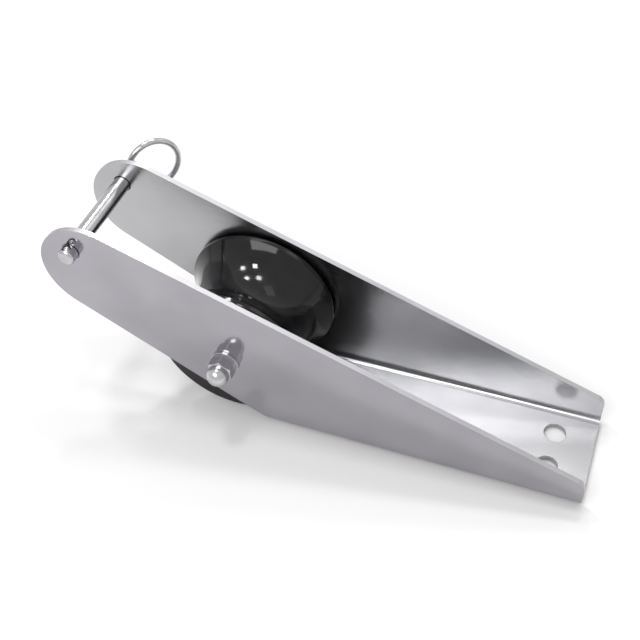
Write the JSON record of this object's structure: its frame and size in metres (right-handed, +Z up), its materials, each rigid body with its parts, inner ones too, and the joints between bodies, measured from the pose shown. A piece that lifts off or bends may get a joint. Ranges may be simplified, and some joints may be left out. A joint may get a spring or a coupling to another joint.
{
  "type": "bow anchor roller",
  "caption": "Stainless bow anchor roller: folded U channel with tapering cheeks, a grooved black roller on a bolt, and a retaining pin with a pull ring across the nose.",
  "frame": {"origin": "on the underside of the floor plate, midway between the two deck bolt holes", "axes": "+X aft along the channel towards the bolt-down end, +Y to port across the channel, towards the ring end of the pin, +Z up from the deck"},
  "size_m": [0.3028, 0.1092, 0.1222],
  "materials": {
    "polished_steel": "mechanically polished stainless sheet",
    "bright_steel": "bright turned and tumbled stainless",
    "black_rubber": "glossy moulded hard rubber",
    "white_acetal": "machined acetal",
    "spring_steel": "drawn spring wire"
  },
  "bodies": {
    "frame": {"channel": "polished_steel", "axle_sleeve": "bright_steel", "axle_bolt": "bright_steel", "bolt_head_washer": "bright_steel", "cap_nut_washer": "bright_steel", "cap_nut": "bright_steel"},
    "roller_body": {"roller": "black_rubber", "roller_bush_port": "white_acetal", "roller_bush_starboard": "white_acetal"},
    "pin_body": {"retaining_pin": "bright_steel", "detent_spring": "spring_steel"},
    "ball_body": {"detent_ball": "bright_steel"},
    "ring_body": {"pull_ring": "bright_steel"}
  },
  "joints": [
    {"name": "roller_spin", "type": "hinge", "parent": "frame", "child": "roller_body", "pos_m": [-0.1775, 0, 0.046], "axis": [0, 1, 0], "continuous": true},
    {"name": "pin_pull", "type": "slide", "parent": "frame", "child": "pin_body", "axis": [0, 1, 0], "range_m": [0, 0.07]},
    {"name": "ring_swing", "type": "hinge", "parent": "pin_body", "child": "ring_body", "pos_m": [-0.2596, 0.037, 0.1053], "axis": [0, 0, 1], "range_deg": [-50, 130]},
    {"name": "ball_press", "type": "slide", "parent": "pin_body", "child": "ball_body", "axis": [0, 0, -1], "range_m": [0, 0.0004], "stiffness_N_per_m": 1500, "springref_m": -0.0006, "deforming": ["detent_spring"]}
  ]
}
